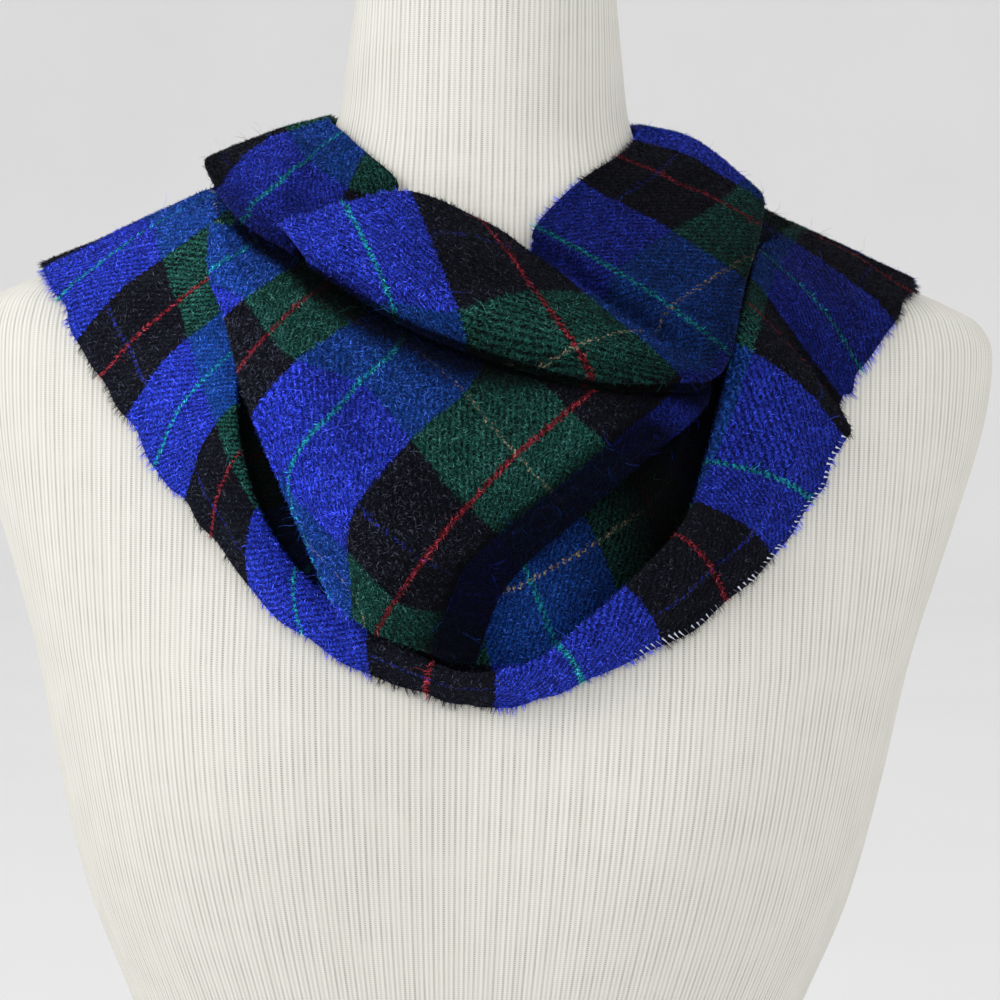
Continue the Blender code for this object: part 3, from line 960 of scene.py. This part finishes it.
# %% The front fold's table
Drape = namedtuple("Drape", "brim lip swell belly turn tuck along v_lip v_swell v_belly v_turn")
FRONT_DRAPE = (
    Drape((-92, -58, 593), (-94, -60, 591), (-96, -61, 591), (-99, -62, 592), (-101, -61, 592), 1,
          -86, 79, 82, 85, 88),
    Drape((-83, -68, 586), (-86, -73, 583), (-90, -78, 580), (-95, -81, 577), (-99, -78, 574), 1,
          -59, 76, 82, 88, 95),
    Drape((-69, -78, 577), (-73, -84, 575), (-78, -90, 571), (-85, -95, 566), (-92, -93, 560), 1,
          -30, 75, 84, 96, 106),
    Drape((-56, -88, 569), (-62, -97, 565), (-69, -105, 558), (-78, -108, 548), (-85, -105, 539),
          2, 0, 74, 86, 104, 118),
    Drape((-40, -94, 560), (-47, -107, 555), (-58, -115, 548), (-69, -118, 537), (-79, -113, 524),
          3, 27, 76, 90, 106, 122),
    Drape((-26, -96, 555), (-30, -114, 546), (-45, -127, 531), (-65, -128, 501), (-50, -125, 461),
          4, 59, 80, 104, 148, 206),
    Drape((4, -98, 547), (-2, -122, 535), (-22, -137, 516), (-42, -140, 489), (-42, -128, 456), 3,
          91, 68, 98, 130, 190),
    Drape((51, -98, 540), (41, -118, 533), (11, -138, 508), (-16, -143, 476), (-32, -129, 450), 3,
          118, 32, 77, 123, 170),
    Drape((75, -100, 537), (65, -114, 529), (31, -133, 502), (0, -139, 474), (-13, -129, 444), 4,
          145, 20, 66, 113, 176),
    Drape((84, -102, 534), (76, -111, 525), (38, -128, 500), (5, -134, 472), (-6, -128, 441), 3,
          160, 18, 62, 108, 178),
    Drape((81, -98, 532), (73, -104, 521), (44, -116, 495), (13, -123, 466), (3, -125, 440), 2,
          172, 20, 58, 105, 179),
)
HEM_DOWN = 0.8
BEHIND_IN, BEHIND_UP = 5, 8
DRAPE_STEPS, DRAPE_ACROSS = 26, 14
DRAPE_CREASES = (
    Crease(3.6, 2.6, 5.6, 3.3, 1.8, 7),
    Crease(5.2, 2.2, 7.4, 2.7, 1.8, 8),
    Crease(6.1, 3.7, 7.9, 3.3, 2.4, 7),
    Crease(6.8, 4.4, 8.4, 3.9, 2.2, 7),
    Crease(5.0, 4.2, 6.4, 4.7, 1.8, 7),
)


def drape_cloth():
    """The front fold: the strip behind, the brim, lip, swell, belly and turn, and the hem."""
    shape = [row[:6] for row in FRONT_DRAPE]
    brim, lip, swell, belly, turn, tuck = columns_of(shape, smooth_through, DRAPE_STEPS)
    behind = moved(brim, -BEHIND_IN, BEHIND_UP)
    lines = [behind, brim, lip, swell, belly, turn, moved(turn, -tuck, -HEM_DOWN * tuck)]
    points = smooth_across(lines, DRAPE_ACROSS)
    normals = normals_of(points)
    points, painted_crease_shade = pressed(points, normals, DRAPE_CREASES, DRAPE_STEPS, DRAPE_ACROSS)
    points = kept_clear(points)
    threads = [row[6:] for row in FRONT_DRAPE]
    along, v_lip, v_swell, v_belly, v_turn = columns_of(threads, smooth_through, DRAPE_STEPS)
    known = [(2, v_lip), (3, v_swell), (4, v_belly), (5, v_turn)]
    across = measure_across(points, [(line * DRAPE_ACROSS, v) for line, v in known])
    measure = np.stack([along[:, None] + 0 * across, across], axis=-1)
    line_at = np.arange(points.shape[1])[None, :] / DRAPE_ACROSS - 1
    row_at = np.arange(len(points))[:, None] / DRAPE_STEPS
    # Painted light and shade: the colour is darkened in the valley under the inner turn and on the
    # strip behind, lightened on the left side, nearly blackened past the ridge at the right, and
    # darkened on the lower side towards the right.
    in_valley = 1 - soft_step(line_at, 0.65, 0.75)
    at_left = soft_step(line_at, 2.0) * (1 - soft_step(row_at, 5.5, 2))
    past_ridge = soft_step(row_at, 7.5, 0.6) * soft_step(line_at, 0.85, 0.45)
    low = soft_step(line_at, 3.0) * soft_step(row_at, 6.2, 1.6)
    shade = (0.9 + 0.4 * at_left) * (1 - 0.95 * in_valley)
    shade = shade * painted_crease_shade * (1 - 0.96 * past_ridge) * (1 - 0.45 * low)
    return Cloth(points, measure, normals_of(points), shade, False)


drape = drape_cloth()
print("front fold:", drape.points.shape[:2], "points")

# %% [markdown]
# ## The cloth itself
#
# Each surface gets a real thickness from a Solidify modifier, half to each side, as wool of
# this weight is about two millimetres thick with its nap.

# %% Make the three stretches
CLOTH_THICKNESS = 1.8


def cloth_object(name, cloth, node):
    """A stretch of the scarf as a thin shell that stands for its node."""
    mesh = grid_mesh(name, cloth.points, cloth.measure, cloth.closed, shade=cloth.shade)
    piece = as_object(name, mesh, wool)
    wall = piece.modifiers.new("wall", "SOLIDIFY")
    wall.thickness = CLOTH_THICKNESS * MM
    wall.offset = 0
    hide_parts(node)
    return piece


shoulder_piece = cloth_object("scarf_outer_turn", shoulder, "shoulder_wrap")
neck_piece = cloth_object("scarf_inner_turn", neck, "neck_wrap")
drape_piece = cloth_object("scarf_front_fold", drape, "front_drape")
print("three stretches of", CLOTH_THICKNESS, "mm wool")

# %% [markdown]
# ## Nap
#
# Brushed wool shows single fibres: a short dense nap, a few long curly ones, and a soft
# outline against the light. Noise in a material can't change an outline, so the fibres are
# real geometry. Each is a thin blade of a few triangles, all of them worked out at once.
# Every fibre keeps the measure of its root, so it takes the colour of the plaid there.

# %% Fibres


def scatter(cloth, count):
    """Random places on a cloth: quads drawn by area, and a place in each by two shares.

    A place is the bilinear blend of the quad's corners.
    """
    p = cloth.points
    side_a, side_b = p[1:, :-1] - p[:-1, :-1], p[:-1, 1:] - p[:-1, :-1]
    area = np.linalg.norm(np.cross(side_a, side_b), axis=-1)
    weight = (area / area.sum()).ravel()
    quad = chance.choice(weight.size, count, p=weight)
    i, j = np.unravel_index(quad, area.shape)
    s, t = chance.random((2, count))[..., None]
    root, normal, measure, shade = (
        blended(field, i, j, s, t)
        for field in (p, cloth.normals, cloth.measure, cloth.shade[..., None])
    )
    return root, unit(normal), measure, shade[:, 0]


def blade_mesh(name, paths, widths, measure, tone):
    """Fibres as tapered blades along their paths, shaped (fibres, places, 3) in millimetres.

    At place k of n the blade is width * (1 - k / n) wide, and its last place is its tip.
    """
    fibres, places = paths.shape[:2]
    ahead = unit(np.gradient(paths, axis=1))
    aside = unit(np.cross(ahead, unit(chance.normal(size=(fibres, 1, 3)))))
    taper = 1 - np.arange(places) / (places - 1)
    half = aside * (widths[:, None] * taper[None, :] / 2)[..., None]
    left, right = paths[:, :-1] - half[:, :-1], paths[:, :-1] + half[:, :-1]
    rungs = np.stack([left, right], axis=2).reshape(fibres, -1, 3)
    vertices = np.concatenate([rungs, paths[:, -1:]], axis=1)
    each = vertices.shape[1]
    k = np.arange(each - 2)
    strip = np.stack([k, k + 1 + k % 2, k + 2 - k % 2], axis=1)
    faces = strip[None] + (np.arange(fibres) * each)[:, None, None]
    mesh = bpy.data.meshes.new(name)
    mesh.from_pydata((vertices.reshape(-1, 3) * MM).tolist(), [], faces.reshape(-1, 3).tolist())
    layer = mesh.uv_layers.new(name="measure")
    corners = np.repeat(measure * MM, 3 * (each - 2), axis=0)
    layer.data.foreach_set("uv", corners.astype(np.float32).ravel())
    shade = mesh.attributes.new("shade", "FLOAT", "POINT")
    shade.data.foreach_set("value", np.repeat(tone, each).astype(np.float32))
    return mesh


NAP_COUNTS = (195000, 160000, 130000)
NAP_LENGTH, NAP_LIFT, BLADE_WIDTH = 1.7, 0.9, 0.30
NAP_TONES, NAP_SHARES = (0.3, 1.0, 3.0), (0.48, 0.32, 0.20)
NAP_IN_GROOVE, NAP_ON_RIB = 0.35, 1.7
CLOTHS = (("outer_turn", shoulder), ("inner_turn", neck), ("front_fold", drape))


def nap(name, cloth, count):
    """A short nap on the outer face of a cloth: straight blades that lean every way.

    Fibres are brighter on the twill's ribs: the tone grows with 1 - |2 f - 1|, where f is the
    fraction of (u - v) / RIB_REPEAT, which is 0 in a groove and 1/2 on the middle of a rib.
    """
    root, normal, measure, shade = scatter(cloth, count)
    lean = unit(np.cross(normal, chance.normal(size=(count, 3))))
    rise = NAP_LIFT * chance.random((count, 1))
    long = NAP_LENGTH * (0.4 + 0.9 * chance.random((count, 1)))
    start = root + normal * (CLOTH_THICKNESS / 2 - 0.05)
    tip = start + long * unit(lean + normal * rise)
    phase = ((measure[:, 0] - measure[:, 1]) / RIB_REPEAT) % 1
    on_rib = NAP_IN_GROOVE + (NAP_ON_RIB - NAP_IN_GROOVE) * (1 - np.abs(2 * phase - 1))
    # The tone also carries the cloth's painted light and shade.
    tone = shade * on_rib * chance.choice(NAP_TONES, count, p=NAP_SHARES)
    widths = np.full(count, BLADE_WIDTH)
    mesh = blade_mesh(name, np.stack([start, tip], axis=1), widths, measure, tone)
    return as_object(name, mesh, fibre_wool)


outer_nap, inner_nap, fold_nap = (
    nap("nap_" + stretch, cloth, count) for (stretch, cloth), count in zip(CLOTHS, NAP_COUNTS)
)
print("nap fibres:", sum(NAP_COUNTS))

# %% [markdown]
# A few fibres have worked loose and curl well clear of the nap. They are long, thin and pale,
# and they catch the light most against the dark checks.

# %% Loose hairs
STRAY_COUNTS = (900, 700, 500)
STRAY_LENGTH, STRAY_WIDTH, STRAY_PLACES = 9, 0.16, 7
STRAY_WANDER, STRAY_LIFT = 0.55, 0.35
STRAY_TONES, STRAY_SHARES = (1.6, 3.2), (0.6, 0.4)


def strays(name, cloth, count):
    """Long curly hairs: each heads off the cloth and its heading wanders at every place.

    The path is the running sum of unit headings, each the last one plus a random turn.
    """
    root, normal, measure, shade = scatter(cloth, count)
    turn = chance.normal(0, STRAY_WANDER, (count, STRAY_PLACES - 1, 3))
    flat = unit(np.cross(normal, chance.normal(size=(count, 3))))
    heading = unit((flat + STRAY_LIFT * normal)[:, None] + np.cumsum(turn, axis=1))
    into = np.minimum(np.einsum("nkc,nc->nk", heading, normal), 0)[..., None]
    heading = unit(heading - into * normal[:, None])
    step = STRAY_LENGTH * (0.4 + 0.8 * chance.random((count, 1, 1))) / (STRAY_PLACES - 1)
    start = root + normal * (CLOTH_THICKNESS / 2)
    paths = start[:, None] + np.concatenate(
        [np.zeros((count, 1, 3)), np.cumsum(step * heading, axis=1)], axis=1
    )
    # The tone is a random paleness times the cloth's painted shade, never under a quarter.
    tone = np.clip(shade, 0.25, 1) * chance.choice(STRAY_TONES, count, p=STRAY_SHARES)
    mesh = blade_mesh(name, paths, np.full(count, STRAY_WIDTH), measure, tone)
    return as_object(name, mesh, fibre_wool)


outer_strays, inner_strays, fold_strays = (
    strays("strays_" + stretch, cloth, count)
    for (stretch, cloth), count in zip(CLOTHS, STRAY_COUNTS)
)
print("loose hairs:", sum(STRAY_COUNTS))

# %% [markdown]
# ## Raw edges
#
# The long edges of the scarf aren't hemmed. The last warp threads have come out, and the
# weft threads stick out as a short eyelash fringe, each in its own colour. At the lower right
# of the front a row of pale yarn ends lies across the edge as well.

# %% Frayed edges


FRINGE_PITCH, FIBRES_PER_END, MEASURE_AT_EDGE = 1.9, 9, 5.0
FRINGE_TONES, FRINGE_SHARES = (0.6, 1.2, 2.8), (0.3, 0.4, 0.3)


def edge_run(cloth, rows):
    """The distance along the raw edge, which is the cloth's first line, at each of the rows."""
    steps = np.linalg.norm(np.diff(cloth.points[rows, 0], axis=0), axis=1)
    return np.concatenate([[0], np.cumsum(steps)])


def on_edge(cloth, rows, at, inner_line):
    """Place, way off the cloth, normal, way along and measure at distances along the raw edge.

    All are read between the rows in proportion. The way off is from an inner line to the edge,
    and the way along is its cross product with the normal.
    """
    run, edge = edge_run(cloth, rows), cloth.points[rows, 0]
    off = edge - cloth.points[rows, inner_line]
    place, off, normal, measure = (
        np.stack([np.interp(at, run, column) for column in field.T], axis=1)
        for field in (edge, off, cloth.normals[rows, 0], cloth.measure[rows, 0])
    )
    off, normal = unit(off), unit(normal)
    return place, off, normal, unit(np.cross(off, normal)), measure


def fringe(name, cloth, rows, length):
    """Weft ends along the cloth's first line: bunches of fibres that point off the edge."""
    ends = np.arange(0, edge_run(cloth, rows)[-1], FRINGE_PITCH)
    count = len(ends) * FIBRES_PER_END
    at = np.repeat(ends, FIBRES_PER_END) + chance.normal(0, 0.28, count)
    edge, off, normal, sideways, measure = on_edge(cloth, rows, at, 1)
    long = np.repeat(length * (0.5 + 0.7 * chance.random(len(ends))), FIBRES_PER_END)[:, None]
    bend = np.repeat(chance.normal(0, 0.30, len(ends)), FIBRES_PER_END)[:, None]
    spread = chance.normal(0, 0.22, (count, 2))
    aim = unit(off + sideways * (bend + spread[:, :1]) + normal * (0.12 + spread[:, 1:]))
    droop = normal * chance.normal(0, 0.3, (count, 1))
    droop = droop + sideways * chance.normal(0, 0.3, (count, 1))
    start = edge - off * 0.6 + normal * chance.normal(0, 0.3, (count, 1))
    share = np.linspace(0, 1, 4)[None, :, None]
    paths = start[:, None] + aim[:, None] * share * long[:, None] + droop[:, None] * share**2
    measure[:, 1] = MEASURE_AT_EDGE
    tone = chance.choice(FRINGE_TONES, count, p=FRINGE_SHARES)
    mesh = blade_mesh(name, paths, np.full(count, BLADE_WIDTH), measure, tone)
    return as_object(name, mesh, fibre_wool)


def pale_yarn():
    """Ends of pale binding yarn at the raw edge: matt, and nearly white beside the dark wool."""
    constants = {"Base Color": linear("#c9cee2"), "Roughness": 0.9, "Specular IOR Level": 0.15}
    return new_material("pale binding yarn", constants)[0]


INNER_EDGE_ROWS = 9
TEETH_FROM_ROW, TEETH_TO_ROW, TEETH_PITCH = 7.4, 10.0, 2.3
TOOTH_LENGTH, TOOTH_ROOT, TOOTH_WIDTH = 4.6, 2.8, 0.8


def edge_teeth(name, cloth, rows):
    """Short slanted yarn ends that lie across the raw edge, one to each pitch of its length."""
    at = np.arange(0, edge_run(cloth, rows)[-1], TEETH_PITCH)
    at = at + chance.normal(0, 0.2, len(at))
    edge, off, normal, ahead, measure = on_edge(cloth, rows, at, 2)
    aim = unit(off + ahead * chance.normal(-0.35, 0.12, (len(at), 1)))
    long = TOOTH_LENGTH * (0.6 + 0.6 * chance.random((len(at), 1)))
    start = edge - TOOTH_ROOT * off + (CLOTH_THICKNESS / 2 + 0.5) * normal
    share = np.linspace(0, 1, 4)[None, :, None]
    paths = start[:, None] + share * (long * aim)[:, None] - 0.5 * share**2 * normal[:, None]
    mesh = blade_mesh(name, paths, np.full(len(at), TOOTH_WIDTH), measure, np.ones(len(at)))
    return as_object(name, mesh, pale_yarn())


teeth_rows = np.arange(int(TEETH_FROM_ROW * RING_STEPS), int(TEETH_TO_ROW * RING_STEPS))
outer_teeth = edge_teeth("teeth_outer_turn", shoulder, teeth_rows)
outer_fringe = fringe("fringe_outer_turn", shoulder, np.arange(len(shoulder.points)), 4.2)
inner_fringe = fringe("fringe_inner_turn", neck, np.arange(INNER_EDGE_ROWS * NECK_STEPS), 3.4)
print("fringes:", outer_fringe.name, inner_fringe.name)

# %% [markdown]
# ## The stretches of cloth
#
# The cloth is the three stretches made above. They include the lining and the strip behind
# the front fold, which hardly show.

print("three stretches of cloth")

# %% [markdown]
# ## Floor and light
#
# A round pale floor curves up into a low wall on every side. It gives an even background
# from the front, and as the camera stands inside it, the back and the sides can be seen too.
# The light is soft: a large lamp at the left, a weaker one at the right, and a bright sky.

# %% The studio
FLOOR_RADIUS, SWEEP, WALL_TOP = 4.5, 1.0, 1.4
STUDIO_SIDES = 96


def studio_sweep():
    """A round floor that turns up into a wall along a quarter circle."""
    turn = np.linspace(0, np.pi / 2, 25)
    sweep_out, sweep_up = FLOOR_RADIUS + SWEEP * np.sin(turn), SWEEP - SWEEP * np.cos(turn)
    out = np.concatenate([[0.001, FLOOR_RADIUS / 2], sweep_out, [FLOOR_RADIUS + SWEEP]])
    up = np.concatenate([[0, 0], sweep_up, [WALL_TOP]])[:, None]
    angle = np.linspace(0, 2 * np.pi, STUDIO_SIDES + 1)[None, :]
    x, y = out[:, None] * np.cos(angle), out[:, None] * np.sin(angle)
    return np.stack([x, y, up + 0 * x], axis=-1) / MM


def painted_floor():
    """Matt white studio paint, with a faint unevenness from the roller."""
    material, tree, shader = new_material("matt white studio paint", {"Roughness": 0.9})
    place = add_node(tree, "TexCoord").outputs["Object"]
    noise = add_node(tree, "TexNoise", {"Vector": place, "Scale": 3.0})
    colour = add_node(
        tree, "Mix", {0: noise, 6: linear("#f0f0f0"), 7: linear("#ebebeb")}, data_type="RGBA"
    ).outputs[2]
    tree.links.new(colour, shader.inputs["Base Color"])
    return material


def add_lamp(name, size, power, place, target):
    """A square area lamp that faces its target."""
    lamp = bpy.data.lights.new(name, "AREA")
    lamp.size, lamp.energy = size, power
    holder = add_to_scene(name, lamp)
    aim = (Vector(target) - Vector(place)).to_track_quat("-Z", "Y")
    holder.matrix_world = Matrix.Translation(place) @ aim.to_matrix().to_4x4()


sweep_points = studio_sweep()
sweep_mesh = grid_mesh(
    "studio_floor", sweep_points, sweep_points[..., :2], closed_across=True
)
sweep_mesh.materials.append(painted_floor())
sweep_mesh.shade_smooth()
studio = add_to_scene("studio_floor", sweep_mesh)

CHEST = (0, -0.1, 0.5)
add_lamp("key", 1.0, 20, (-1.7, -1.1, 1.5), CHEST)
add_lamp("fill", 1.6, 5, (1.5, -1.4, 0.9), CHEST)
sky = bpy.data.worlds.new("sky")
bpy.context.scene.world = sky
sky.use_nodes = True
sky.node_tree.nodes["Background"].inputs["Color"].default_value = linear("#ffffff")
sky.node_tree.nodes["Background"].inputs["Strength"].default_value = 0.86
bpy.context.scene.view_settings.view_transform = "Standard"
print("studio ready")
